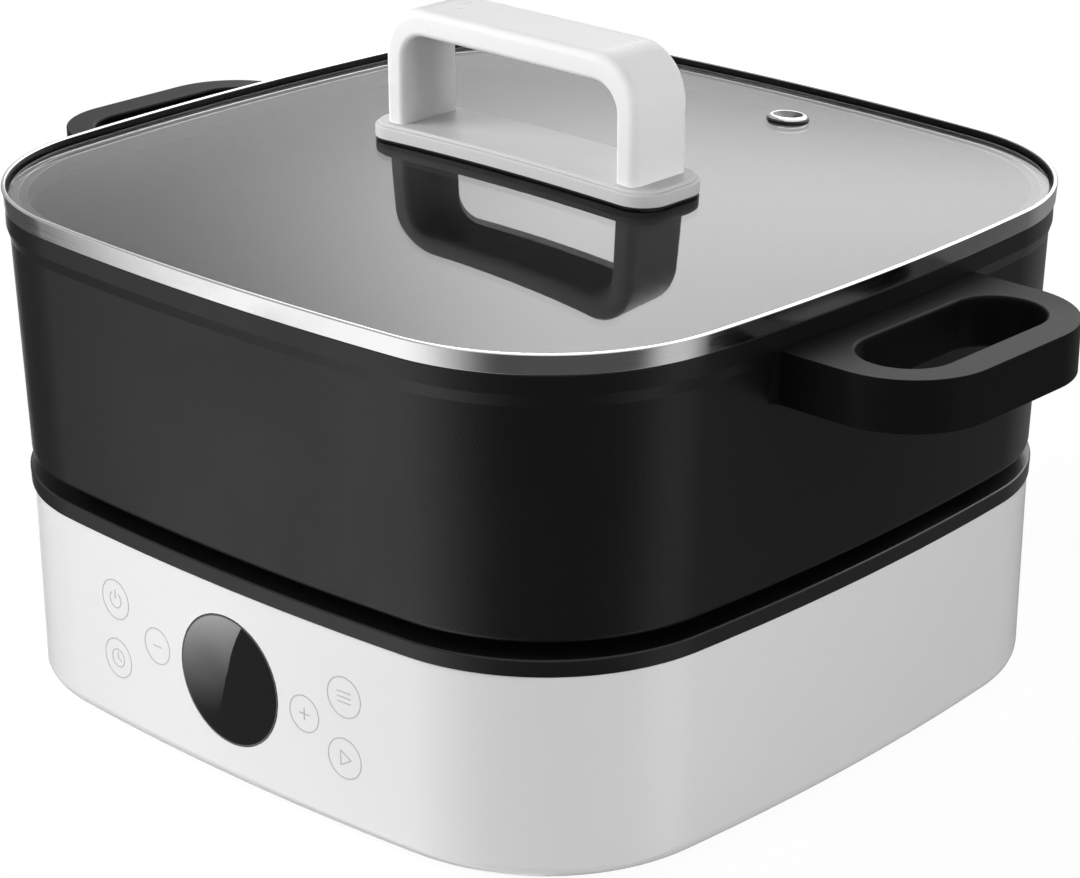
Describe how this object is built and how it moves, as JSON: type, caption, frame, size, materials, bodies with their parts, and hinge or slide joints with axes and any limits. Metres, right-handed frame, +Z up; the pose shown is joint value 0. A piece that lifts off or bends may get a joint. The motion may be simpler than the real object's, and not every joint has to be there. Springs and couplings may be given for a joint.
{
  "type": "electric hot pot with lid",
  "caption": "Square electric hot pot: heated base with round display, black lift-off pot with loop handles, and a domed glass lid with steel rim and bridge handle.",
  "frame": {"origin": "under the middle of the object, on the plane of the feet", "axes": "+Z up; the display faces -Y; the pot handles point along +X and -X; the lid handle runs along X"},
  "size_m": [0.404, 0.2976, 0.2294],
  "materials": {
    "white_shell": "gloss white",
    "grey_cover": "matt light grey",
    "black_rubber": "matt",
    "steel_screws": "plated",
    "black_deck": "satin black",
    "cast_plate": "machined casting",
    "steel_tube": "oxidised",
    "black_silicone": "matt",
    "bright_sheet": "bright sheet",
    "sensor_metal": "satin",
    "spring_steel": "drawn wire",
    "black_lens": "high gloss",
    "white_module": "matt",
    "green_board": "solder mask",
    "black_component": "matt",
    "yellow_component": "tape",
    "can_metal": "sleeved can",
    "plated_blades": "nickel plated",
    "black_coating": "matt black coating",
    "black_handle": "satin black",
    "clear_glass": "polished",
    "rim_steel": "polished",
    "white_handle": "satin white",
    "grey_plate": "matt light grey"
  },
  "bodies": {
    "base": {"base_shell": "white_shell", "bottom_cover": "grey_cover", "feet": "black_rubber", "cover_screws": "steel_screws", "top_deck": "black_deck", "heating_plate": "cast_plate", "heating_element": "steel_tube", "plate_seal": "black_silicone", "heat_shield": "bright_sheet", "shield_screws": "steel_screws", "plate_posts": "steel_screws", "plate_screws": "steel_screws", "thermostat": "steel_tube", "sensor_guide": "sensor_metal", "sensor_spring": "spring_steel", "display_lens": "black_lens", "display_module": "white_module", "control_board": "green_board", "touch_pads": "black_silicone", "board_screws": "steel_screws", "power_board": "green_board", "power_board_screws": "steel_screws", "board_relay": "black_component", "board_transformer": "yellow_component", "board_capacitors": "can_metal", "terminal_block": "white_module", "power_inlet": "black_component", "inlet_blades": "plated_blades", "inlet_screws": "steel_screws"},
    "pot": {"pot_body": "black_coating", "side_handle_right": "black_handle", "side_handle_left": "black_handle", "side_handle_screws": "steel_screws"},
    "lid": {"lid_glass": "clear_glass", "lid_rim": "rim_steel", "lid_handle": "white_handle", "handle_plate": "grey_plate", "handle_gasket": "black_silicone", "handle_washers": "black_silicone", "lid_handle_screws": "steel_screws", "steam_vent": "rim_steel", "vent_seal": "black_silicone", "vent_nut": "rim_steel"},
    "sensor": {"sensor_button": "sensor_metal"}
  },
  "joints": [
    {"name": "pot_lift", "type": "slide", "parent": "base", "child": "pot", "axis": [0, 0, 1], "range_m": [0, 0.12]},
    {"name": "lid_lift", "type": "slide", "parent": "pot", "child": "lid", "axis": [0, 0, 1], "range_m": [0, 0.12]},
    {"name": "sensor_rise", "type": "slide", "parent": "base", "child": "sensor", "axis": [0, 0, 1], "range_m": [0, 0.003], "stiffness_N_per_m": 200, "springref_m": 0.004, "deforming": ["sensor_spring"]}
  ],
  "couplings": [
    {"joint": "sensor_rise", "follows": "pot_lift", "ratio": 0.025}
  ]
}
